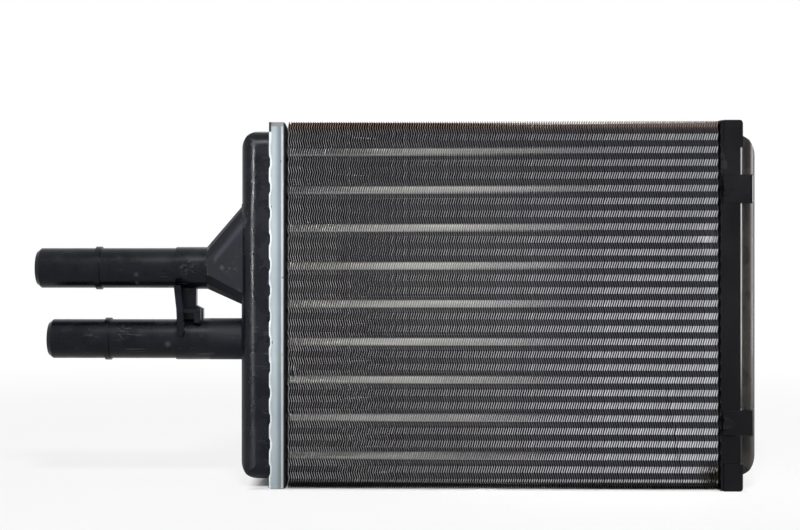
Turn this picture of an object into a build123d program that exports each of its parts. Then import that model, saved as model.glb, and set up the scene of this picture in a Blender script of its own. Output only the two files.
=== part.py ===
from build123d import *
from math import copysign, cos, radians, sin
import os

# Lengths in millimetres. X runs along the core from the hose stubs to the far
# tank, Y through its depth with the seen front toward -Y, Z up. Inside this
# file x = 0 is the left end of the fins; the last lines centre the whole core.

# Fin stack and tubes
tube_rows = 9
tube_pitch = 18.6
end_margin = 10.8
core_high = tube_rows * tube_pitch + end_margin
core_middle = core_high / 2
fins_length = 207.5
fins_low = 0.3
fins_depth = 42.0
fin_count = 182
side_groove = 6.0
end_groove = 9.5
tube_outer = 8.0
tube_wall = 0.4
tube_sides = 10
tube_column_y = 10.5
tube_past_floor = 2.5

# Header trays, counted outward from the end of the fins
header_gap = 1.2
sheet = 1.5
side_wall = 1.2
gasket_thick = 1.5
foot_thick = 3.0
lip_thick = 2.2
header_margin = 6.0
header_bend = 1.6
pipe_header_low = 0.0
pipe_header_high = core_high - 0.2
return_header_inset = 1.8
return_header_low = return_header_inset
return_header_high = core_high - return_header_inset
play = 0.15

# Wavy crimp on the trays
crimp_pitch = 12.45
crimp_middle = core_middle - 5.3
crimp_dip = 0.6
crimp_flat = 3.4
crimp_slope = 1.9
crimp_count = 13

# Plastic tanks
tank_depth = 39.0
header_depth = tank_depth + header_margin
tank_wall = 2.5
pipe_tank_inset = 3.4
pipe_tank_reach = 23.3
pipe_tank_corner = 9.6
pipe_tank_round = 9.0
return_tank_inset = 2.6
return_tank_reach = 20.2
return_tank_corner = 15.5
return_tank_round = 8.5
divider_z = core_middle - 6.9
divider_thick = 2.4
gasket_bar = 4.0
inner_chamfer_share = 0.6
band_raise = 0.3

# Hose stubs
upper_stub_z = core_middle + 18.0
lower_stub_z = core_middle - 17.5
stub_wall = 2.0
upper_stub_d = 20.0
lower_stub_d = 19.6
root_more = 1.1
bead_more = 1.6
bead_width = 2.6
stub_end_round = 1.6
upper_end_x = -127.0
lower_end_x = -121.1
upper_bead_x = -96.0
lower_bead_x = -91.3
root_x = -57.0

# Funnel from the tank to the upper stub
funnel_tip_x = -41.8
funnel_past_wall = 0.6
funnel_low = upper_stub_z - 19.5
funnel_high = upper_stub_z + 34.4
band_top = funnel_high - 2.8
funnel_depth = 30.0
funnel_round = 8.0

# Web and shelf between the stubs
web_left = -57.2
web_right = -47.0
web_foot = -43.6
shelf_z = lower_stub_z + 15.2
web_thick = 6.0
shelf_front = -9.0
shelf_thick = 2.0
blade_proud = 2.0
blade_tip_x = -53.8
blade_tip_z = lower_stub_z + 0.4

# Frame round the return header
frame_start = 0.4
frame_width = 10.3
frame_low = 0.0
frame_high = core_high
frame_play = 0.3
frame_side = 2.0
frame_chamfer = 0.7
frame_far_chamfer = 0.9
block_long = 13.2
block_raise = 0.8
block_inset = 1.3
block_round = 1.8
hook_long = 12.0
hook_deep = 1.2
hook_thick = 0.5
hook_apart = 59.0
lower_lug_up = 26.5
lower_lug_high = 12.5
upper_lug_down = 26.2
upper_lug_high = 13.8
lug_start = 0.6
lug_end = 15.6
lug_raise = 1.4
lug_chamfer = 0.6
lug_under = 0.6
nose_big = 4.6
nose_small = 0.7
nose_end = 11.0
nose_out = 2.2

# Stack heights that follow from the values above
floor_out = header_gap + sheet
gasket_out = floor_out + gasket_thick
foot_out = gasket_out + foot_thick
lip_out = foot_out + lip_thick
frame_out = frame_start + frame_width
funnel_base_x = tank_wall + funnel_past_wall - pipe_tank_reach
tube_z = [core_middle + 0.15 + (i - (tube_rows - 1) / 2) * tube_pitch for i in range(tube_rows)]


def span(x0, x1, y0, y1, z0, z1):
    """A box between two corners."""
    size = (x1 - x0, y1 - y0, z1 - z0)
    middle = ((x0 + x1) / 2, (y0 + y1) / 2, (z0 + z1) / 2)
    return Pos(*middle) * Box(*size)


def rod(x0, x1, y, z, radius):
    """A cylinder along X."""
    return Pos((x0 + x1) / 2, y, z) * Rot(0, 90, 0) * Cylinder(radius, x1 - x0)


def plate_y(points, y0, y1):
    """An (x, z) outline made solid from y0 to y1."""
    face = make_face(Polyline(*[(x, y0, z) for x, z in points], close=True))
    return extrude(face, amount=y1 - y0, dir=(0, 1, 0))


def tube_form(x0, x1, y, z, radius):
    """A tube's outside or bore along X, with few flats because it repeats."""
    end = Plane(origin=(x0, y, z), x_dir=(0, 1, 0), z_dir=(1, 0, 0))
    return extrude(end * RegularPolygon(radius, tube_sides), amount=x1 - x0, dir=(1, 0, 0))


def tube_holes(x0, x1):
    """The outside of each tube, to be taken out of a part."""
    radius = tube_outer / 2
    return [tube_form(x0, x1, side * tube_column_y, z, radius) for side in (-1, 1) for z in tube_z]


def edges_along(part, axis):
    return part.edges().filter_by(axis)


def tube(side, z):
    reach = floor_out + tube_past_floor
    y = side * tube_column_y
    outer = tube_form(-reach, fins_length + reach, y, z, tube_outer / 2)
    inner = tube_form(-reach - 1, fins_length + reach + 1, y, z, tube_outer / 2 - tube_wall)
    return outer - inner


def fin_comb(edge_low, edge_high, groove):
    """The outline of all fin edges along X, with a groove between each two."""
    pitch = fins_length / (fin_count - 1)
    near = []
    far = []
    for i in range(fin_count - 1):
        near += [(i * pitch, edge_low), ((i + 0.5) * pitch, edge_low + groove)]
        far += [(i * pitch, edge_high), ((i + 0.5) * pitch, edge_high - groove)]
    near.append((fins_length, edge_low))
    far.append((fins_length, edge_high))
    return near + far[::-1]


def fin_pack():
    """The fins as one solid, grooved all round between each two edges."""
    half = fins_depth / 2
    side = make_face(Polyline(*[(x, y, fins_low) for x, y in fin_comb(-half, half, side_groove)],
                              close=True))
    side = extrude(side, amount=core_high - fins_low, dir=(0, 0, 1))
    end = plate_y(fin_comb(fins_low, core_high, end_groove), -half, half)
    pack = side & end
    return pack.cut(*tube_holes(-1, fins_length + 1))


def header_tray(low, high, inset):
    """A drawn tray open to the left, its lip crimped in waves over the foot."""
    half = header_depth / 2
    tray = span(-lip_out, -header_gap, -half, half, low, high)
    tray = fillet(tray.faces().sort_by(Axis.X)[-1].edges(), header_bend)
    tray -= span(-foot_out, -floor_out, side_wall - half, half - side_wall,
                 low + side_wall, high - side_wall)
    tray -= span(-lip_out - 1, -foot_out, -tank_depth / 2 - play, tank_depth / 2 + play,
                 low + inset - play, high - inset + play)
    tray -= crimp_dips()
    return tray.cut(*tube_holes(-floor_out - 1, 0))


def crimp_dips():
    """The hollows between the crimped teeth along both long sides."""
    middle = (crimp_count - 1) / 2
    half = header_depth / 2 + 1
    dips = []
    for i in range(crimp_count):
        z = crimp_middle + (i - middle) * crimp_pitch
        outer = crimp_flat / 2 + crimp_slope
        points = [(-lip_out - 1, z - outer - crimp_slope), (-lip_out + crimp_dip, z - crimp_flat / 2),
                  (-lip_out + crimp_dip, z + crimp_flat / 2), (-lip_out - 1, z + outer + crimp_slope)]
        dips.append(plate_y(points, -half, half))
    return dips


def gasket(low, high, inset):
    """A rubber ring on the tray's floor, under the tank's foot and wall."""
    half = header_depth / 2 - side_wall - play
    low_in = low + side_wall + play
    high_in = high - side_wall - play
    ring = span(-gasket_out, -floor_out, -half, half, low_in, high_in)
    open_half = tank_depth / 2 - tank_wall
    return ring - span(-gasket_out - 1, 0, -open_half, open_half,
                       low + inset + tank_wall, high - inset - tank_wall)


def pipe_gasket():
    """The ring with a bar across, on which the wall inside the tank seals."""
    ring = gasket(pipe_header_low, pipe_header_high, pipe_tank_inset)
    half = tank_depth / 2
    return ring + span(-gasket_out, -floor_out, -half, half,
                       divider_z - gasket_bar / 2, divider_z + gasket_bar / 2)


def dome(reach, half_y, low, high, corner, round_over, soften=fillet):
    """A long hood closed at -reach, softened as seen from the front, from above and endways."""
    block = span(-reach, -gasket_out, -half_y, half_y, low, high)
    front = soften(edges_along(block, Axis.Y).group_by(Axis.X)[0], corner)
    above = soften(edges_along(block, Axis.Z).group_by(Axis.X)[0], round_over)
    endways = soften(edges_along(block, Axis.X), round_over)
    return front & above & endways


def tank_foot(low, high):
    """The flange that the crimp holds down on the gasket."""
    half = header_depth / 2 - side_wall - play
    low_in = low + side_wall + play
    high_in = high - side_wall - play
    return span(-foot_out, -gasket_out, -half, half, low_in, high_in)


def tank_shell(reach, low, high, inset, corner, round_over):
    """Outer form and cavity of a tank, apart, so that a duct can join them."""
    half = tank_depth / 2
    outer = dome(reach, half, low + inset, high - inset, corner, round_over)
    outer += tank_foot(low, high)
    share = inner_chamfer_share
    inner = dome(reach - tank_wall, half - tank_wall, low + inset + tank_wall,
                 high - inset - tank_wall, share * (corner - tank_wall),
                 share * (round_over - tank_wall), chamfer)
    inner += span(-gasket_out - 0.5, -gasket_out + 1, tank_wall - half, half - tank_wall,
                  low + inset + tank_wall, high - inset - tank_wall)
    return outer, inner


def stub_outer(end_x, bead_x, z, diameter, to_x):
    """A hose stub turned about its own axis, with its bead and thicker root."""
    r = diameter / 2
    root = r + root_more / 2
    bead = r + bead_more / 2
    low = bead_x - bead_width / 2
    high = bead_x + bead_width / 2
    points = [(end_x, 0), (end_x, r - stub_end_round), (end_x + 1.3 * stub_end_round, r),
              (low, r), (low, bead), (high, bead), (high, r), (root_x, r), (root_x, root),
              (to_x, root), (to_x, 0)]
    outline = Polyline(*[(x, 0, h) for x, h in points], close=True)
    solid = revolve(make_face(outline), Axis.X)
    return Pos(0, 0, z) * solid


def soft_rectangle(x, middle, half_y, half_z, corner):
    """A rectangle across X, each corner cut in two steps, about z = middle."""
    far = corner / cos(radians(15))
    points = []
    for turn in range(15, 360, 30):
        y, z = cos(radians(turn)), sin(radians(turn))
        points.append((x, y * far + copysign(half_y - corner, y),
                       middle + z * far + copysign(half_z - corner, z)))
    return make_face(Polyline(*points, close=True))


def funnel(extra):
    """The hood between tank and upper stub; extra is minus the wall inside."""
    tip = (upper_stub_d / 2 + root_more / 2) * cos(radians(15)) + extra
    tip_face = soft_rectangle(funnel_tip_x, upper_stub_z, tip, tip, tip)
    base_face = soft_rectangle(funnel_base_x, (funnel_low + funnel_high) / 2, funnel_depth / 2 + extra,
                               (funnel_high - funnel_low) / 2 + extra, funnel_round + extra)
    return loft([tip_face, base_face], ruled=True)


def stub_web():
    """The web, shelf and blade that tie the two stubs together."""
    top = upper_stub_z - upper_stub_d / 2 + 1.5
    bottom = lower_stub_z + lower_stub_d / 2 - 1.5
    half = web_thick / 2
    cut = web_foot - web_right
    web = plate_y([(web_left, top), (web_right, top), (web_right, shelf_z + cut / 2),
                   (web_foot, shelf_z), (web_foot, bottom), (web_left + 1.2, bottom)],
                  -half, half)
    web += span(web_left + 1.2, web_foot - 0.6, shelf_front, 0, shelf_z - shelf_thick, shelf_z)
    web += span(web_right - 0.4, web_foot - 0.6, shelf_front, 0, bottom, shelf_z)
    blade = plate_y([(web_left, top), (web_left + 3.4, top), (web_left + 4.4, shelf_z),
                     (blade_tip_x + 2.0, blade_tip_z + 4.5), (blade_tip_x, blade_tip_z),
                     (blade_tip_x - 1.6, blade_tip_z + 4.5), (web_left + 1.3, shelf_z)],
                    -lower_stub_d / 2 - blade_proud, 0)
    return web + blade


def pipe_tank():
    low = pipe_header_low
    high = pipe_header_high
    outer, inner = tank_shell(pipe_tank_reach, low, high, pipe_tank_inset,
                              pipe_tank_corner, pipe_tank_round)
    half = tank_depth / 2
    band = dome(pipe_tank_reach + band_raise, half + play - 0.01, low + pipe_tank_inset,
                high - pipe_tank_inset, pipe_tank_corner, pipe_tank_round)
    band &= span(-pipe_tank_reach - 2, -foot_out, -half - 1, half + 1, low, band_top)
    inside_x = -pipe_tank_reach + tank_wall + 2.0
    outer += band
    outer += funnel(0)
    outer += stub_outer(upper_end_x, upper_bead_x, upper_stub_z, upper_stub_d, funnel_tip_x + 0.5)
    outer += stub_outer(lower_end_x, lower_bead_x, lower_stub_z, lower_stub_d, -pipe_tank_reach + 1.0)
    outer += stub_web()
    upper_bore = upper_stub_d / 2 - stub_wall
    lower_bore = lower_stub_d / 2 - stub_wall
    outer -= inner
    outer -= funnel(-tank_wall)
    outer -= rod(upper_end_x - 1, funnel_tip_x + 1.5, 0, upper_stub_z, upper_bore)
    outer -= rod(lower_end_x - 1, inside_x, 0, lower_stub_z, lower_bore)
    wall = span(-pipe_tank_reach + 1.0, -gasket_out, 1.0 - half, half - 1.0,
                divider_z - divider_thick / 2, divider_z + divider_thick / 2)
    wall &= dome(pipe_tank_reach - 1.0, half - 1.0, low + pipe_tank_inset + 1.0,
                 high - pipe_tank_inset - 1.0, pipe_tank_corner - 1.0, pipe_tank_round - 1.0)
    return outer + wall


def return_tank():
    outer, inner = tank_shell(return_tank_reach, return_header_low, return_header_high,
                              return_tank_inset, return_tank_corner, return_tank_round)
    return outer - inner


def frame_body():
    """The ring round the return header, open toward the fins."""
    half_in = header_depth / 2 + frame_play
    half = half_in + frame_side
    ring = span(-frame_out, -frame_start, -half, half, frame_low, frame_high)
    ring = chamfer(edges_along(ring, Axis.X), frame_chamfer)
    ring = chamfer(edges_along(ring, Axis.Z).group_by(Axis.X)[0], frame_far_chamfer)
    ring -= span(-lip_out - frame_play, 0, -half_in, half_in,
                 return_header_low - frame_play, return_header_high + frame_play)
    ring -= span(-frame_out - 1, 0, -tank_depth / 2 - frame_play, tank_depth / 2 + frame_play,
                 return_header_low + return_tank_inset - frame_play,
                 return_header_high - return_tank_inset + frame_play)
    return ring


def corner_block(low, high, side):
    """A raised pad over one end of the frame's front or back."""
    half = header_depth / 2 + frame_play + frame_side
    y0, y1 = sorted((side * (half - 1.0), side * (half + block_raise)))
    pad = span(-frame_out, -frame_start - block_inset, y0, y1, low, high)
    outer_end = Axis.Z if low < core_middle else -Axis.Z
    edges = edges_along(pad, Axis.Y).group_by(Axis.X)[0].sort_by(outer_end)[0:1]
    return fillet(edges, block_round)


def hook(z, side):
    """A snap hook that catches the tray's floor next to the fins."""
    half_in = header_depth / 2 + frame_play
    y0, y1 = sorted((side * (half_in + 0.5), side * (half_in - hook_deep)))
    return span(-frame_start - hook_thick, -frame_start, y0, y1, z - hook_long / 2, z + hook_long / 2)


def lug(low, high):
    """A front lug that reaches over the tank, with its half-cone nose."""
    face = -(header_depth / 2 + frame_play + frame_side + lug_raise)
    back = -tank_depth / 2 - lug_under
    bar = span(-lug_end, -frame_start - lug_start, face, back, low, high)
    bar -= span(-frame_out + 1.0, 0, -header_depth / 2 - frame_play, back + 1, low - 1, high + 1)
    bar = chamfer(bar.faces().sort_by(Axis.Y)[0].edges(), lug_chamfer)
    middle = (low + high) / 2
    start = -frame_start - lug_start
    outline = Polyline((start, 0, 0), (start, 0, nose_big), (-nose_end, 0, nose_small),
                       (-nose_end, 0, 0), close=True)
    cone = revolve(make_face(outline), Axis.X)
    cone = Pos(0, face + nose_big - nose_out, middle) * cone
    cone &= span(-lug_end, 0, face - nose_big, face + 0.6, low, high)
    return bar + cone


def mounting_frame():
    frame = frame_body()
    for side in (-1, 1):
        frame += corner_block(frame_low, frame_low + block_long, side)
        frame += corner_block(frame_high - block_long, frame_high, side)
        for z in (core_middle - hook_apart, core_middle, core_middle + hook_apart):
            frame += hook(z, side)
    frame += lug(lower_lug_up, lower_lug_up + lower_lug_high)
    upper_lug_top = core_high - upper_lug_down
    frame += lug(upper_lug_top - upper_lug_high, upper_lug_top)
    return frame


def mirrored(part):
    """The same part turned to the far end of the fins."""
    return Pos(fins_length, 0, 0) * mirror(part, Plane.YZ)


def all_parts():
    parts = {
        "pipe_tank": pipe_tank(),
        "return_tank": mirrored(return_tank()),
        "pipe_header_plate": header_tray(pipe_header_low, pipe_header_high, pipe_tank_inset),
        "return_header_plate": mirrored(header_tray(return_header_low, return_header_high,
                                                    return_tank_inset)),
        "pipe_gasket": pipe_gasket(),
        "return_gasket": mirrored(gasket(return_header_low, return_header_high,
                                         return_tank_inset)),
        "mounting_frame": mirrored(mounting_frame()),
        "fin_pack": fin_pack(),
    }
    for name, side in (("front", -1), ("rear", 1)):
        for i, z in enumerate(tube_z):
            parts[f"tube_{name}_{i + 1}"] = tube(side, z)
    return parts


os.makedirs("parts", exist_ok=True)
middle_x = (upper_end_x + fins_length + return_tank_reach) / 2
middle_y = (block_raise - lug_raise - nose_out) / 2
for part_name, shape in all_parts().items():
    export_step(Pos(-middle_x, -middle_y, 0) * shape, f"parts/{part_name}.step")
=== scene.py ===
import bpy
import math
import numpy as np
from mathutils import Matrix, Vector


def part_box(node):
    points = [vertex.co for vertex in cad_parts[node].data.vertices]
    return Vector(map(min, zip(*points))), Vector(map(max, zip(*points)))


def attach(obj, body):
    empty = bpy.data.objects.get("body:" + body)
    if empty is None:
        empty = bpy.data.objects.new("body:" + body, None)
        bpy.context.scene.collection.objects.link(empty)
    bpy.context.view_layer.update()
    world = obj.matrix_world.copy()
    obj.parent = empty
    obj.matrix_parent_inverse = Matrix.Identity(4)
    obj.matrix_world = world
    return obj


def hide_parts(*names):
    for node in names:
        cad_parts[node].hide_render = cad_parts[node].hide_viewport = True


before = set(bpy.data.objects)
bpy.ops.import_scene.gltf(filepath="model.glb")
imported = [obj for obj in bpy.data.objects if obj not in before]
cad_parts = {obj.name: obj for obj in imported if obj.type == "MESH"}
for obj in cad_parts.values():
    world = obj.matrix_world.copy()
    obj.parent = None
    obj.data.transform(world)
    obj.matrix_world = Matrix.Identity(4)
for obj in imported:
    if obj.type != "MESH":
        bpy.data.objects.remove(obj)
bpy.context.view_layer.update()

MM = 0.001

# Places read from the frame
fin_low, fin_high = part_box("fin_pack")
fin_depth = fin_high.y - fin_low.y
fin_height = fin_high.z - fin_low.z
pipe_plate_low, pipe_plate_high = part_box("pipe_header_plate")
tube_low, tube_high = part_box("tube_front_5")
tube_middle_z = (tube_low.z + tube_high.z) / 2
tube_pitch = tube_low.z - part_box("tube_front_4")[0].z

# The left tray's crimped rim: the pitch of its dips, the height and reach of one, its folded top
crimp_pitch = 12.45 * MM
crimp_dip_z = 83.8 * MM
crimp_dip = 0.30 * MM
tray_fold_z = 173.2 * MM

# Fins: their number and sheet, the waves up their height and the sway through their depth
fin_count = 182
fin_thick = 0.20 * MM
fin_wave = 6.2 * MM
fin_wave_swing = 0.45 * MM
fin_wave_up = 0.75 * MM
fin_depth_steps = (0.0, 3.0 * MM, 11.0 * MM, 21.0 * MM, 31.0 * MM, fin_depth)
fin_depth_sway = (0.0, 0.0, 0.5 * MM, -0.5 * MM, 0.5 * MM, 0.0)

# Fins: where they aren't even, and the room that the first and the last have beside the trays
fin_straight_end = 0.5 * MM
fin_end_zone = 5.0 * MM
fin_end_lean = 1.1 * MM
fin_uneven_lean = 0.05 * MM
fin_uneven_swing = (0.8, 1.1)
fin_outer_room = 0.30 * MM
fin_seed = 7

# Dents of the fins as (right of the fins' left end, height, reach along, reach up, push)
FIN_DENTS = (
    (2.0 * MM, 55.5 * MM, 4.0 * MM, 5.5 * MM, 0.75 * MM),
    (2.0 * MM, 64.0 * MM, 2.5 * MM, 2.5 * MM, -0.60 * MM),
    (2.0 * MM, 35.0 * MM, 3.0 * MM, 3.0 * MM, 0.60 * MM),
    (201.0 * MM, 121.5 * MM, 4.5 * MM, 4.5 * MM, 0.80 * MM),
    (206.0 * MM, 7.0 * MM, 4.0 * MM, 6.0 * MM, -0.70 * MM),
    (204.0 * MM, 90.0 * MM, 3.0 * MM, 70.0 * MM, 0.25 * MM),
)

# How fast the dents' push changes along the fins' row, up their height and across both, in
# radians a metre
DENT_MOTTLE = (4100, 1700, 900)

# A split that leans down to the right: a place on it (right, height), its slope, half its width
FIN_SPLIT = (184.5 * MM, 44.0 * MM, 0.17, 0.20 * MM)

# The heights where the split starts, is full, still is full and ends, and how far beside it
# the fins are bent
FIN_SPLIT_RUN = (4 * MM, 10 * MM, 42 * MM, 54 * MM)
FIN_SPLIT_REACH = 2.5 * MM

# Rubbed places and small pale marks on the stubs' front, as (X, Z, reach)
STUB_RUBS = (
    (-100.3 * MM, 107.6 * MM, 6.5 * MM),
    (-148.5 * MM, 74.0 * MM, 6.0 * MM),
    (-134.0 * MM, 75.0 * MM, 6.0 * MM),
    (-79.0 * MM, 106.0 * MM, 5.0 * MM),
)
STUB_MARKS = (
    (-126.4 * MM, 103.9 * MM, 1.7 * MM),
    (-126.4 * MM, 99.8 * MM, 1.3 * MM),
    (-110.7 * MM, 69.5 * MM, 2.2 * MM),
    (-83.6 * MM, 107.3 * MM, 1.8 * MM),
)

# Where along Y these marks are full, and where they end
stub_front = (-4.0 * MM, -2.0 * MM)

# The painted highlight along the funnel's upper edge: its left end's X and Z, its slope and its
# right end's X
RIDGE_HIGHLIGHT_LINE = (-88.5 * MM, 110.0 * MM, 1.18, -70.0 * MM)

# The funnel's dull stretch along X: where it starts, is full, still is full, and ends
FUNNEL_DULL = (-91.5 * MM, -89.5 * MM, -74.0 * MM, -72.5 * MM)

# The edges that are rounded on the frame and the left tray
edge_round = 0.45 * MM
edge_steps = 3
edge_angle = 35
edge_weld = 0.002 * MM

# Camera, from the photograph's picture scale
camera_right_of_fins = 32.0 * MM
camera_from_front = 650.0 * MM
camera_height = 108.6 * MM
camera_yaw = 1.2
camera_lens = 60.24
camera_shift = 0.0922

# The floor, and the place under the core where its shadow is kept whole
floor_size = 30
floor_below = 0.2 * MM
floor_core_x = 50 * MM
floor_core_reach = (112 * MM, 122 * MM)
floor_core_depth = (16 * MM, 26 * MM)

# Colours of the black plastics
TANK_DEEP = (0.0018, 0.0024, 0.0048)
TANK_PALE = (0.0040, 0.0050, 0.0085)
RETURN_DEEP = (0.0150, 0.0140, 0.0125)
RETURN_PALE = (0.0260, 0.0240, 0.0210)
RUBBED_GREY = (0.09, 0.09, 0.10)
MARK_GREY = (0.08, 0.08, 0.09)
# Painted highlight along the funnel's ridge
PAINTED_RIDGE_GREY = (0.045, 0.050, 0.068)
SCRATCH_GREY = (0.12, 0.12, 0.13)
GLOSS_DEEP = (0.0008, 0.0009, 0.0018)
GLOSS_PALE = (0.0018, 0.0019, 0.0030)
GLOSS_SCRATCH = (0.16, 0.16, 0.17)

# Colours of the left tray
TRAY_DULL = (0.245, 0.285, 0.305)
TRAY_CLEAR = (0.305, 0.35, 0.37)
TRAY_PATCH = (0.205, 0.245, 0.26)
# Painted shade, darker towards the fins
TRAY_FAR_SHADE = (0.095, 0.12, 0.13)
# Painted highlight on the crimped rim and along the bend
TRAY_HIGHLIGHT = (0.53, 0.56, 0.58)
TRAY_FOLD = (0.15, 0.15, 0.155)
TRAY_NICK = (0.07, 0.08, 0.09)
# Black of painted shade, in the tray's gaps and on the fins' sides between the front and rear
SHADE_BLACK = (0.004, 0.004, 0.005)

# Colours of the fins
FIN_SIDE = (0.86, 0.87, 0.90)
FIN_SIDE_PATCH = (0.95, 0.95, 0.95)
# Painted shade on the waves' undersides
FIN_UNDER_SHADE = (0.07, 0.07, 0.08)
# Painted shade on the fins' cut edges, at the left and at the right
FIN_CUT_SHADE_LEFT = (0.19, 0.195, 0.21)
FIN_CUT_SHADE_RIGHT = (0.07, 0.07, 0.085)
# Painted brown reflection on the fins' top strip
FIN_TOP_REFLECTION = (0.22, 0.150, 0.115)
FIN_STAIN = (0.050, 0.042, 0.028)
# Painted black shade on the fins' bottom strip
FIN_BOTTOM_SHADE = (0.006, 0.006, 0.006)

# Colours of the tubes and of the rubber rings
TUBE_DULL = (0.82, 0.79, 0.73)
TUBE_CLEAR = (0.96, 0.93, 0.86)
# Painted shade on the tubes' lower halves, and painted black shade above and below their middles and
# in the gap beside the tray
TUBE_SHADE = (0.36, 0.35, 0.32)
TUBE_SHADE_BLACK = (0.010, 0.010, 0.010)
RUBBER_DEEP = (0.010, 0.010, 0.010)
RUBBER_PALE = (0.018, 0.018, 0.018)

FLOOR_PALE = (0.62, 0.62, 0.62)


def nothing_selected():
    if bpy.context.object and bpy.context.object.mode != "OBJECT":
        bpy.ops.object.mode_set(mode="OBJECT")
    bpy.ops.object.select_all(action="DESELECT")


def only_selected(piece):
    nothing_selected()
    piece.select_set(True)
    bpy.context.view_layer.objects.active = piece


def named(name):
    """Names the object that an operator has just made and returns it."""
    piece = bpy.context.object
    piece.name = name
    piece.data.name = name
    return piece


def settle(piece):
    """Puts the object's place, turn and scale into its mesh."""
    only_selected(piece)
    bpy.ops.object.transform_apply(location=True, rotation=True, scale=True)


def apply_modifiers(piece):
    only_selected(piece)
    for name in [m.name for m in piece.modifiers]:
        bpy.ops.object.modifier_apply(modifier=name)


def points_of(piece):
    flat = np.empty(len(piece.data.vertices) * 3)
    piece.data.vertices.foreach_get("co", flat)
    return flat.reshape(-1, 3)


def set_points(piece, points):
    piece.data.vertices.foreach_set("co", points.astype(np.float32).ravel())
    piece.data.update()


# Materials
class Nodes:
    """A short hand for one material's or group's nodes."""

    def __init__(self, tree):
        self.tree = tree

    def add(self, kind, **values):
        node = self.tree.nodes.new(kind)
        for key, value in values.items():
            if key in node.inputs:
                node.inputs[key].default_value = value
            else:
                setattr(node, key, value)
        return node

    def join(self, out, into):
        self.tree.links.new(out, into)

    def math(self, operation, first, second=0.0, clamp=False):
        node = self.add("ShaderNodeMath", operation=operation, use_clamp=clamp)
        for i, value in enumerate((first, second)):
            if isinstance(value, (int, float)):
                node.inputs[i].default_value = value
            else:
                self.join(value, node.inputs[i])
        return node.outputs[0]

    def plus(self, first, second, clamp=False):
        return self.math("ADD", first, second, clamp)

    def minus(self, first, second):
        return self.math("SUBTRACT", first, second)

    def times(self, first, second, clamp=False):
        return self.math("MULTIPLY", first, second, clamp)

    def larger(self, first, second):
        return self.math("MAXIMUM", first, second)

    def unsigned(self, value):
        return self.math("ABSOLUTE", value)

    def ramp(self, value, low, high, low_out=0.0, high_out=1.0):
        """Eases from low_out at low to high_out at high."""
        node = self.add("ShaderNodeMapRange", interpolation_type="SMOOTHSTEP")
        node.inputs["From Min"].default_value = low
        node.inputs["From Max"].default_value = high
        node.inputs["To Min"].default_value = low_out
        node.inputs["To Max"].default_value = high_out
        self.join(value, node.inputs["Value"])
        return node.outputs["Result"]

    def fall(self, value, low, high):
        """Eases from 1 at low to 0 at high."""
        return self.ramp(value, low, high, 1.0, 0.0)

    def near(self, value, full, end):
        """1 where value is within full of 0, easing to 0 at end from it."""
        return self.fall(self.unsigned(value), full, end)

    def between(self, value, start, full, fade, end):
        """Eases up from start to full, and down from fade to end."""
        return self.times(self.ramp(value, start, full), self.fall(value, fade, end))

    def mix(self, mask, first, second):
        """A colour mix; first and second are colours or sockets."""
        node = self.add("ShaderNodeMix", data_type="RGBA")
        if isinstance(mask, (int, float)):
            node.inputs["Factor"].default_value = mask
        else:
            self.join(mask, node.inputs["Factor"])
        for socket, value in ((node.inputs[6], first), (node.inputs[7], second)):
            if isinstance(value, tuple):
                socket.default_value = (*value, 1.0)
            else:
                self.join(value, socket)
        return node.outputs[2]

    def mix_shaders(self, share, first, second):
        node = self.add("ShaderNodeMixShader")
        for i, out in enumerate((share, first, second)):
            self.join(out, node.inputs[i])
        return node.outputs[0]

    def axis(self, place, name):
        node = self.add("ShaderNodeSeparateXYZ")
        self.join(place, node.inputs[0])
        return node.outputs[name]

    def stretched(self, place, scale):
        node = self.add("ShaderNodeMapping")
        node.inputs["Scale"].default_value = scale
        self.join(place, node.inputs["Vector"])
        return node.outputs["Vector"]

    def noise(self, place, turns, detail=3.0, rough=0.5):
        """Noise with the given turns in a metre along X, Y and Z."""
        node = self.add("ShaderNodeTexNoise", Scale=1.0, Detail=detail, Roughness=rough)
        self.join(self.stretched(place, turns), node.inputs["Vector"])
        return node.outputs["Fac"]

    def distance(self, place, centre):
        node = self.add("ShaderNodeVectorMath", operation="DISTANCE")
        node.inputs[1].default_value = centre
        self.join(place, node.inputs[0])
        return node.outputs["Value"]

    def spot(self, place, centre, reach):
        """1 at a place in metres, falling to 0 at reach from it."""
        return self.fall(self.distance(place, centre), 0.0, reach)


def new_group(name, inputs, outputs):
    group = bpy.data.node_groups.new(name, "ShaderNodeTree")
    for label, kind in inputs:
        group.interface.new_socket(label, in_out="INPUT", socket_type=kind)
    for label, kind in outputs:
        group.interface.new_socket(label, in_out="OUTPUT", socket_type=kind)
    nodes = Nodes(group)
    start = group.nodes.new("NodeGroupInput")
    end = group.nodes.new("NodeGroupOutput")
    return group, nodes, start, end


def grain_group():
    """The fine uneven skin of a moulded or drawn surface, as a height, and its broad patches."""
    group, nodes, start, end = new_group(
        "fine_grain",
        (("Place", "NodeSocketVector"), ("Size", "NodeSocketFloat")),
        (("Height", "NodeSocketFloat"), ("Patches", "NodeSocketFloat")))
    fine = nodes.add("ShaderNodeTexNoise", Detail=4.0, Roughness=0.6)
    nodes.join(start.outputs["Place"], fine.inputs["Vector"])
    nodes.join(start.outputs["Size"], fine.inputs["Scale"])
    broad = nodes.add("ShaderNodeTexNoise", Detail=3.0, Roughness=0.55)
    nodes.join(start.outputs["Place"], broad.inputs["Vector"])
    nodes.join(nodes.times(start.outputs["Size"], 0.04), broad.inputs["Scale"])
    nodes.join(fine.outputs["Fac"], end.inputs["Height"])
    nodes.join(nodes.ramp(broad.outputs["Fac"], 0.35, 0.68), end.inputs["Patches"])
    return group


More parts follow.
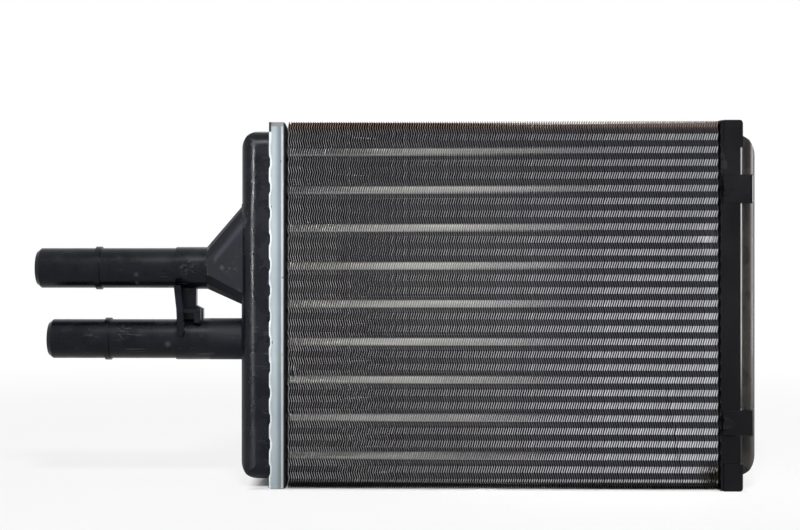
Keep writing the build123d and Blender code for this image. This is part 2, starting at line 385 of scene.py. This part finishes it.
def scratch_group():
    """Thin broken scratches that run along X."""
    group, nodes, start, end = new_group(
        "thin_scratches",
        (("Place", "NodeSocketVector"), ("Amount", "NodeSocketFloat")),
        (("Mask", "NodeSocketFloat"),))
    lines = nodes.noise(start.outputs["Place"], (60, 900, 900), 2.0)
    broken = nodes.noise(start.outputs["Place"], (140, 60, 60), 2.0)
    thin = nodes.ramp(lines, 0.62, 0.72)
    parts = nodes.ramp(broken, 0.5, 0.62)
    mask = nodes.times(nodes.times(thin, parts), start.outputs["Amount"])
    nodes.join(mask, end.inputs["Mask"])
    return group


GRAIN = grain_group()
SCRATCHES = scratch_group()


def new_material(name):
    """A material with its Principled shader and the object's own coordinates."""
    material = bpy.data.materials.new(name)
    material.use_nodes = True
    nodes = Nodes(material.node_tree)
    shader = material.node_tree.nodes["Principled BSDF"]
    place = nodes.add("ShaderNodeTexCoord").outputs["Object"]
    return material, nodes, shader, place


def placed(nodes, group, place, **values):
    """A shared effect in one material, with its own values, and what it puts out."""
    node = nodes.tree.nodes.new("ShaderNodeGroup")
    node.node_tree = group
    for label, value in values.items():
        node.inputs[label].default_value = value
    nodes.join(place, node.inputs["Place"])
    return node.outputs


def grained(nodes, place, size):
    out = placed(nodes, GRAIN, place, Size=size)
    return out["Height"], out["Patches"]


def scratched(nodes, place):
    return placed(nodes, SCRATCHES, place, Amount=1.0)["Mask"]


def bump(nodes, shader, height, strength, distance):
    node = nodes.add("ShaderNodeBump")
    node.inputs["Strength"].default_value = strength
    node.inputs["Distance"].default_value = distance
    nodes.join(height, node.inputs["Height"])
    nodes.join(node.outputs["Normal"], shader.inputs["Normal"])


def roughness(nodes, mask, smooth, dull):
    return nodes.ramp(mask, 0.0, 1.0, smooth, dull)


def front_spots(nodes, place, spots):
    """1 at each of the given places on the stubs' front half, seen along the depth."""
    flat = nodes.stretched(place, (1, 0, 1))
    mask = 0.0
    for x, z, reach in spots:
        mask = nodes.larger(nodes.spot(flat, (x, 0, z), reach), mask)
    return nodes.times(mask, nodes.fall(nodes.axis(place, "Y"), *stub_front))


def painted_ridge_highlight(nodes, along, up):
    """1 on the line that the funnel's upper edge makes as it rises to the tank, where a highlight is
    painted.
    """
    left, height, slope, right = RIDGE_HIGHLIGHT_LINE
    off = nodes.minus(nodes.times(nodes.minus(along, left), slope), nodes.minus(up, height))
    ends = nodes.between(along, left, left + 1.5 * MM, right - 2.0 * MM, right)
    return nodes.times(nodes.near(off, 0.4 * MM, 2.6 * MM), ends)


def tank_nylon(name, dull, shiny, mirror, deep, pale):
    """Black glass-filled nylon, with rubbed places on the stubs and a painted highlight along the
    funnel's ridge.
    """
    material, nodes, shader, place = new_material(name)
    shader.inputs["Specular IOR Level"].default_value = mirror
    height, patches = grained(nodes, place, 2400.0)
    colour = nodes.mix(patches, deep, pale)
    wear_and_highlight = nodes.ramp(nodes.noise(place, (620, 620, 900), 4.0, 0.65), 0.50, 0.64)
    wear_and_highlight = nodes.times(wear_and_highlight, front_spots(nodes, place, STUB_RUBS))
    colour = nodes.mix(nodes.times(wear_and_highlight, 0.45), colour, RUBBED_GREY)
    marks = front_spots(nodes, place, STUB_MARKS)
    colour = nodes.mix(nodes.times(marks, 0.5), colour, MARK_GREY)
    along, up = nodes.axis(place, "X"), nodes.axis(place, "Z")
    # Painted highlight along the funnel's ridge
    ridge = painted_ridge_highlight(nodes, along, up)
    colour = nodes.mix(nodes.times(ridge, 0.5), colour, PAINTED_RIDGE_GREY)
    scratch = scratched(nodes, place)
    colour = nodes.mix(nodes.times(scratch, 0.25), colour, SCRATCH_GREY)
    nodes.join(colour, shader.inputs["Base Color"])
    funnel = nodes.between(along, *FUNNEL_DULL)
    rough = nodes.plus(roughness(nodes, patches, shiny, dull), nodes.times(funnel, 0.25))
    nodes.join(rough, shader.inputs["Roughness"])
    bump(nodes, shader, height, 0.25, 0.06 * MM)
    return material


def frame_gloss():
    """Glossy black frame with a few light hair scratches."""
    material, nodes, shader, place = new_material("frame_gloss")
    shader.inputs["Specular IOR Level"].default_value = 0.14
    height, patches = grained(nodes, place, 900.0)
    scratch = scratched(nodes, nodes.stretched(place, (1, 1, 0.12)))
    colour = nodes.mix(patches, GLOSS_DEEP, GLOSS_PALE)
    colour = nodes.mix(nodes.times(scratch, 0.12), colour, GLOSS_SCRATCH)
    nodes.join(colour, shader.inputs["Base Color"])
    nodes.join(roughness(nodes, patches, 0.14, 0.24), shader.inputs["Roughness"])
    bump(nodes, shader, height, 0.12, 0.05 * MM)
    return material


def crimped_rim(nodes, place, along, up):
    """1 on the tray's left rim, with a dip at each tooth of the crimp."""
    turns = nodes.times(nodes.minus(up, crimp_dip_z), 2 * math.pi / crimp_pitch)
    dips = nodes.times(nodes.math("COSINE", turns), crimp_dip)
    uneven = nodes.noise(place, (200, 200, 130), 2.0)
    rim = nodes.minus(nodes.minus(along, dips), nodes.times(uneven, 0.8 * MM))
    return nodes.fall(rim, pipe_plate_low.x + 0.1 * MM, pipe_plate_low.x + 1.0 * MM)


def tray_aluminium():
    """Drawn satin sheet, pale blue-grey, with painted white highlights along the crimped rim and the
    bend, painted shade towards the fins and painted black shade in its gaps.
    """
    material, nodes, shader, place = new_material("tray_aluminium")
    height, patches = grained(nodes, place, 1500.0)
    along, up = nodes.axis(place, "X"), nodes.axis(place, "Z")
    left, right = pipe_plate_low.x, pipe_plate_high.x
    drawn = nodes.noise(place, (300, 300, 26), 3.0)
    colour = nodes.mix(nodes.ramp(drawn, 0.3, 0.7), TRAY_DULL, TRAY_CLEAR)
    colour = nodes.mix(nodes.times(patches, 0.4), colour, TRAY_PATCH)
    # Painted shade, darker towards the fins
    far = nodes.ramp(along, left + 2.6 * MM, right - 2.6 * MM)
    colour = nodes.mix(nodes.times(far, 0.9), colour, TRAY_FAR_SHADE)
    # Painted highlights on the crimped rim and along the bend
    below_fold = nodes.fall(up, tray_fold_z - 0.3 * MM, tray_fold_z + 0.3 * MM)
    rim = nodes.times(crimped_rim(nodes, place, along, up), below_fold)
    bend = nodes.near(nodes.minus(along, right - 1.8 * MM), 0.25 * MM, 0.75 * MM)
    wear_and_highlight = nodes.larger(rim, nodes.times(bend, 0.55))
    colour = nodes.mix(wear_and_highlight, colour, TRAY_HIGHLIGHT)
    fold = nodes.ramp(up, tray_fold_z + 2.2 * MM, tray_fold_z + 3.2 * MM)
    colour = nodes.mix(fold, colour, TRAY_FOLD)
    # Painted black shade in the strip at the tray's left edge above the fold, and behind the bend
    gap = nodes.fall(along, left + 0.9 * MM, left + 1.3 * MM)
    gap = nodes.times(gap, nodes.minus(1.0, below_fold))
    behind = nodes.ramp(along, right - 1.3 * MM, right - 0.9 * MM)
    colour = nodes.mix(nodes.larger(gap, behind), colour, SHADE_BLACK)
    nicks = nodes.ramp(nodes.noise(place, (420, 420, 230), 1.0), 0.745, 0.775)
    colour = nodes.mix(nicks, colour, TRAY_NICK)
    nodes.join(colour, shader.inputs["Base Color"])
    shader.inputs["Metallic"].default_value = 0.45
    shader.inputs["Specular IOR Level"].default_value = 0.35
    nodes.join(roughness(nodes, drawn, 0.38, 0.52), shader.inputs["Roughness"])
    bump(nodes, shader, height, 0.15, 0.06 * MM)
    return material


def stain(nodes, place):
    """The dirt at the fins' lower right corner."""
    corner = (fin_low.x + 207.0 * MM, fin_low.y + 1.0 * MM, 5.0 * MM)
    clumps = nodes.ramp(nodes.noise(place, (700, 700, 700), 3.0), 0.35, 0.6)
    dirt = nodes.times(nodes.spot(place, corner, 12.0 * MM), clumps)
    return nodes.times(dirt, 1.8, clamp=True)


def fin_aluminium():
    """Thin bare sheet: its sides pale near the front and rear with painted black shade between them,
    painted shade on each wave's underside and on the cut edges, darker to the right, a painted
    brown reflection on the top strip and painted black shade on the bottom strip."""
    material, nodes, shader, place = new_material("fin_aluminium")
    height, patches = grained(nodes, place, 1800.0)
    depth, up = nodes.axis(place, "Y"), nodes.axis(place, "Z")
    # Painted shade on the cut edges grows to the right, and the pale band of the sides reaches
    # deeper there
    shade_rightward = nodes.ramp(nodes.axis(place, "X"), fin_low.x + 70 * MM, fin_low.x + 180 * MM)
    reach = nodes.minus(depth, nodes.times(shade_rightward, 0.9 * MM))
    front = nodes.ramp(reach, fin_low.y + 0.7 * MM, fin_low.y + 2.0 * MM)
    rear = nodes.fall(depth, fin_high.y - 2.0 * MM, fin_high.y - 0.7 * MM)
    shaded_inside = nodes.times(front, rear)
    facing = nodes.add("ShaderNodeNewGeometry").outputs["True Normal"]
    facing_y, facing_z = nodes.axis(facing, "Y"), nodes.axis(facing, "Z")
    side = nodes.mix(patches, FIN_SIDE, FIN_SIDE_PATCH)
    # Painted shade on each wave's downward-facing side
    under_shade = nodes.fall(facing_z, -0.20, 0.08)
    side = nodes.mix(nodes.times(under_shade, 0.95), side, FIN_UNDER_SHADE)
    # Painted black shade on the fins' sides between the pale bands at the front and rear
    colour = nodes.mix(shaded_inside, side, SHADE_BLACK)
    outward = nodes.larger(nodes.unsigned(facing_y), nodes.unsigned(facing_z))
    # Painted shade on the cut edges, darker to the right
    cut_shade = nodes.mix(shade_rightward, FIN_CUT_SHADE_LEFT, FIN_CUT_SHADE_RIGHT)
    colour = nodes.mix(nodes.ramp(outward, 0.7, 0.9), colour, cut_shade)
    # Painted brown reflection on the top strip
    top_reflection = nodes.ramp(up, fin_high.z - 4.6 * MM, fin_high.z - 3.4 * MM)
    outer = nodes.minus(0.85, nodes.times(shaded_inside, 0.85))
    colour = nodes.mix(nodes.times(top_reflection, outer), colour, FIN_TOP_REFLECTION)
    colour = nodes.mix(stain(nodes, place), colour, FIN_STAIN)
    # Painted black shade along the bottom strip
    bottom_shade = nodes.fall(up, fin_low.z + 2.6 * MM, fin_low.z + 3.4 * MM)
    colour = nodes.mix(nodes.times(bottom_shade, 0.97), colour, FIN_BOTTOM_SHADE)
    nodes.join(colour, shader.inputs["Base Color"])
    shader.inputs["Specular IOR Level"].default_value = 0.05
    rough = nodes.plus(roughness(nodes, patches, 0.55, 0.70), shaded_inside, clamp=True)
    nodes.join(rough, shader.inputs["Roughness"])
    bump(nodes, shader, height, 0.1, 0.03 * MM)
    return material


def tube_aluminium():
    """Drawn tube, pale along its middle, with painted shade on its lower half and painted black
    shade above and below the middle and in the gap beside the tray.
    """
    material, nodes, shader, place = new_material("tube_aluminium")
    height, patches = grained(nodes, place, 1200.0)
    first_z = tube_middle_z + 0.3 * MM - tube_pitch / 2
    turns = nodes.math("DIVIDE", nodes.minus(nodes.axis(place, "Z"), first_z), tube_pitch)
    above = nodes.times(nodes.minus(nodes.math("FRACT", turns), 0.5), tube_pitch)
    pale = nodes.mix(patches, TUBE_DULL, TUBE_CLEAR)
    shade = nodes.fall(above, -1.8 * MM, 1.5 * MM)
    pale = nodes.mix(nodes.times(shade, 0.75), pale, TUBE_SHADE)
    # Painted black shade above and below each tube's middle
    middle = nodes.near(above, 1.3 * MM, 2.2 * MM)
    colour = nodes.mix(middle, TUBE_SHADE_BLACK, pale)
    # Painted black shade where the tubes cross the gap beside the tray
    shown = nodes.ramp(nodes.axis(place, "X"), fin_low.x - 0.2 * MM, fin_low.x + 0.6 * MM)
    colour = nodes.mix(shown, TUBE_SHADE_BLACK, colour)
    nodes.join(colour, shader.inputs["Base Color"])
    shader.inputs["Specular IOR Level"].default_value = 0.1
    nodes.join(roughness(nodes, patches, 0.40, 0.55), shader.inputs["Roughness"])
    bump(nodes, shader, height, 0.1, 0.04 * MM)
    return material


def ring_rubber():
    material, nodes, shader, place = new_material("ring_rubber")
    height, patches = grained(nodes, place, 1600.0)
    nodes.join(nodes.mix(patches, RUBBER_DEEP, RUBBER_PALE), shader.inputs["Base Color"])
    nodes.join(roughness(nodes, patches, 0.6, 0.75), shader.inputs["Roughness"])
    bump(nodes, shader, height, 0.2, 0.08 * MM)
    return material


TANK_NYLON = tank_nylon("tank_nylon", 0.34, 0.24, 0.15, TANK_DEEP, TANK_PALE)
RETURN_NYLON = tank_nylon("return_nylon", 0.34, 0.26, 0.12, RETURN_DEEP, RETURN_PALE)
FRAME_GLOSS = frame_gloss()
TRAY_ALUMINIUM = tray_aluminium()
FIN_ALUMINIUM = fin_aluminium()
TUBE_ALUMINIUM = tube_aluminium()
RING_RUBBER = ring_rubber()


def dress(name, material):
    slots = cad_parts[name].data.materials
    slots.clear()
    slots.append(material)


def dress_nodes():
    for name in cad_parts:
        if name.startswith("tube_"):
            dress(name, TUBE_ALUMINIUM)
        elif name.endswith("_gasket"):
            dress(name, RING_RUBBER)
        elif name.endswith("_header_plate"):
            dress(name, TRAY_ALUMINIUM)
    dress("pipe_tank", TANK_NYLON)
    dress("return_tank", RETURN_NYLON)
    dress("mounting_frame", FRAME_GLOSS)


# Fins
def triangle_wave(turns):
    """Rises through 0 at whole turns, between -1 and 1."""
    return 4 * np.abs((turns + 0.75) % 1.0 - 0.5) - 1


def fin_row_heights():
    """The heights of a fin's rows of points: its two ends and each crest of its waves."""
    half = fin_wave / 2
    crest = tube_middle_z + fin_wave_up + half / 2
    first = math.ceil((fin_low.z + fin_straight_end - crest) / half)
    last = math.floor((fin_high.z - fin_straight_end - crest) / half)
    crests = [crest + i * half for i in range(first, last + 1)]
    return np.array([fin_low.z] + crests + [fin_high.z])


def fin_plate(first, count):
    """A run of flat fins, the first at its place and the others in a row."""
    nothing_selected()
    heights = fin_row_heights()
    middle = (fin_low + fin_high) / 2
    pitch = (fin_high.x - fin_low.x - fin_thick) / (fin_count - 1)
    left = fin_low.x + fin_thick / 2 + first * pitch
    bpy.ops.mesh.primitive_grid_add(x_subdivisions=len(heights) - 1,
                                    y_subdivisions=len(fin_depth_steps) - 1,
                                    size=1, location=(left, middle.y, middle.z),
                                    rotation=(0, math.radians(90), 0))
    plate = named("fins")
    plate.scale = (fin_height, fin_depth, 1)
    settle(plate)
    points = points_of(plate)
    step = fin_depth / (len(fin_depth_steps) - 1)
    column = np.rint((points[:, 1] - fin_low.y) / step).astype(int)
    points[:, 1] = fin_low.y + np.array(fin_depth_steps)[column]
    step = fin_height / (len(heights) - 1)
    points[:, 2] = heights[np.rint((points[:, 2] - fin_low.z) / step).astype(int)]
    set_points(plate, points)
    wall = plate.modifiers.new("wall", "SOLIDIFY")
    wall.thickness = fin_thick
    wall.offset = 0
    row = plate.modifiers.new("row", "ARRAY")
    row.count = count
    row.use_relative_offset = False
    row.use_constant_offset = True
    row.constant_offset_displace = (pitch, 0, 0)
    apply_modifiers(plate)
    return plate, pitch


def fin_damage(x, z):
    """How far the fins' front edges are bent, in the places where the real ones are."""
    bent = np.zeros(len(x))
    by_fin, by_wave, by_both = DENT_MOTTLE
    mottle = 0.5 + 0.5 * np.sin(x * by_fin) * np.sin(z * by_wave + x * by_both)
    for right, height, reach_x, reach_z, push in FIN_DENTS:
        off = ((x - fin_low.x - right) / reach_x) ** 2 + ((z - height) / reach_z) ** 2
        bent += push * np.exp(-off) * mottle
    right, height, slope, half_width = FIN_SPLIT
    start, full, fade, end = FIN_SPLIT_RUN
    line = fin_low.x + right + (height - z) * slope
    off = x - line
    along = np.clip((z - start) / (full - start), 0, 1) * np.clip((end - z) / (end - fade), 0, 1)
    bent += half_width * along * np.sign(off) * np.exp(-np.abs(off) / FIN_SPLIT_REACH)
    return bent


def fin_shape(x, y, z, index):
    """How far each point of the fins stands to the right of its flat place."""
    random = np.random.default_rng(fin_seed)
    lean = random.normal(0, fin_uneven_lean, fin_count)
    swing = fin_wave_swing * random.uniform(*fin_uneven_swing, fin_count)
    front_depth, inner_depth = fin_depth_steps[1:3]
    front = np.clip((fin_low.y + front_depth - y) / front_depth, 0, 1)
    turns = (z - tube_middle_z - fin_wave_up) / fin_wave
    wave = triangle_wave(turns) * swing[index]
    sway = np.interp(y - fin_low.y, fin_depth_steps, fin_depth_sway)
    from_end = np.minimum(z - fin_low.z, fin_high.z - z)
    near_end = np.clip(1 - from_end / fin_end_zone, 0, 1)
    behind = np.clip((y - fin_low.y - front_depth) / (inner_depth - front_depth), 0, 1)
    shift = wave + sway + lean[index] * front + fin_end_lean * near_end * behind
    shift = shift + fin_damage(x, z) * front
    outermost = (index == 0) | (index == fin_count - 1)
    return np.where(outermost, np.clip(shift, -fin_outer_room, fin_outer_room), shift)


def fin_run(name, first, count):
    """Some of the fins as one piece, waved, leaned and dented."""
    plate, pitch = fin_plate(first, count)
    plate.name = name
    points = points_of(plate)
    x, y, z = points.T
    index = np.rint((x - fin_low.x - fin_thick / 2) / pitch).astype(int)
    points[:, 0] = x + fin_shape(x, y, z, index)
    set_points(plate, points)
    plate.data.materials.append(FIN_ALUMINIUM)
    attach(plate, "root")
    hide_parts("fin_pack")


def fin_stack():
    half = fin_count // 2
    fin_run("fins_left", 0, half)
    fin_run("fins_right", half, fin_count - half)


def soften_edges(name):
    """Rounds the hard edges of a CAD node as it is shown."""
    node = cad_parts[name]
    weld = node.modifiers.new("weld", "WELD")
    weld.merge_threshold = edge_weld
    bevel = node.modifiers.new("bevel", "BEVEL")
    bevel.width = edge_round
    bevel.segments = edge_steps
    bevel.limit_method = "ANGLE"
    bevel.angle_limit = math.radians(edge_angle)
    bevel.use_clamp_overlap = True
    bevel.harden_normals = True


# The room
def floor_material():
    """White to the eye, with a soft share of the real shadow left in it, and all of it right
    under the core."""
    material, nodes, shader, place = new_material("floor_white")
    shader.inputs["Base Color"].default_value = (*FLOOR_PALE, 1)
    shader.inputs["Roughness"].default_value = 0.9
    shader.inputs["Specular IOR Level"].default_value = 0.0
    glow = nodes.add("ShaderNodeEmission")
    path = nodes.add("ShaderNodeLightPath")
    seen = nodes.larger(path.outputs["Is Camera Ray"], path.outputs["Is Glossy Ray"])
    far = nodes.distance(place, (0, 0, 0))
    share = nodes.times(seen, nodes.ramp(far, 0.25, 0.9, 0.84, 1.0))
    aside = nodes.unsigned(nodes.minus(nodes.axis(place, "X"), floor_core_x))
    behind = nodes.unsigned(nodes.axis(place, "Y"))
    clear = nodes.larger(nodes.ramp(aside, *floor_core_reach), nodes.ramp(behind, *floor_core_depth))
    share = nodes.times(share, clear)
    surface = nodes.mix_shaders(share, shader.outputs[0], glow.outputs[0])
    nodes.join(surface, material.node_tree.nodes["Material Output"].inputs["Surface"])
    return material


def make_floor():
    nothing_selected()
    bpy.ops.mesh.primitive_plane_add(size=floor_size, location=(0, 0, -floor_below))
    floor = named("floor")
    floor.data.materials.append(floor_material())


def make_world():
    """A faint even light, shown as white to the camera, in mirrors and through glass."""
    world = bpy.data.worlds.new("studio")
    bpy.context.scene.world = world
    world.use_nodes = True
    world.node_tree.nodes.clear()
    nodes = Nodes(world.node_tree)
    light = nodes.add("ShaderNodeBackground", Color=(1, 1, 1, 1), Strength=0.08)
    seen = nodes.add("ShaderNodeBackground", Color=(1, 1, 1, 1), Strength=1.0)
    path = nodes.add("ShaderNodeLightPath")
    mirror = nodes.larger(path.outputs["Is Glossy Ray"], path.outputs["Is Transmission Ray"])
    share = nodes.larger(path.outputs["Is Camera Ray"], mirror)
    out = nodes.add("ShaderNodeOutputWorld")
    nodes.join(nodes.mix_shaders(share, light.outputs[0], seen.outputs[0]), out.inputs[0])


def soft_box(name, place, size, power, target=(0.0, 0.0, 0.09), spread=180):
    """A soft light of the given width and height at place, turned to its target."""
    lamp = bpy.data.lights.new(name, "AREA")
    lamp.shape = "RECTANGLE"
    lamp.size, lamp.size_y = size
    lamp.energy = power
    lamp.spread = math.radians(spread)
    lamp_object = bpy.data.objects.new(name, lamp)
    bpy.context.scene.collection.objects.link(lamp_object)
    lamp_object.location = place
    toward = Vector(target) - Vector(place)
    lamp_object.rotation_euler = toward.to_track_quat("-Z", "Y").to_euler()


def make_lights():
    """The key, four narrow lamps that reach in between the fins, and the side and back light."""
    soft_box("key", (0.03, -0.60, 0.80), (0.18, 0.18), 9.5)
    soft_box("front_left", (-0.70, -0.65, 0.16), (0.05, 0.50), 0.100, (-0.075, -0.02, 0.09), 12)
    soft_box("front_middle", (0.015, -0.75, 0.30), (0.06, 0.06), 0.048, (0.020, -0.02, 0.09), 19)
    soft_box("front_right", (0.50, -0.67, 0.12), (0.04, 0.50), 0.016, (0.165, -0.02, 0.06), 12)
    soft_box("high_right", (0.02, -0.60, 0.80), (0.05, 0.05), 0.052, (0.105, -0.02, 0.045), 13)
    soft_box("right_side", (0.85, 0.10, 0.15), (0.30, 0.40), 4.5)
    soft_box("back", (0.2, 1.1, 0.9), (0.8, 0.8), 6)


def make_camera():
    lens = bpy.data.cameras.new("camera")
    lens.lens = camera_lens
    lens.shift_x = camera_shift
    camera = bpy.data.objects.new("camera", lens)
    bpy.context.scene.collection.objects.link(camera)
    camera.location = (fin_low.x + camera_right_of_fins, fin_low.y - camera_from_front,
                       camera_height)
    camera.rotation_euler = (math.radians(90), 0, math.radians(camera_yaw))
    bpy.context.scene.camera = camera


dress_nodes()
fin_stack()
soften_edges("mounting_frame")
soften_edges("pipe_header_plate")
make_floor()
make_world()
make_lights()
make_camera()
bpy.context.scene.view_settings.view_transform = "Standard"
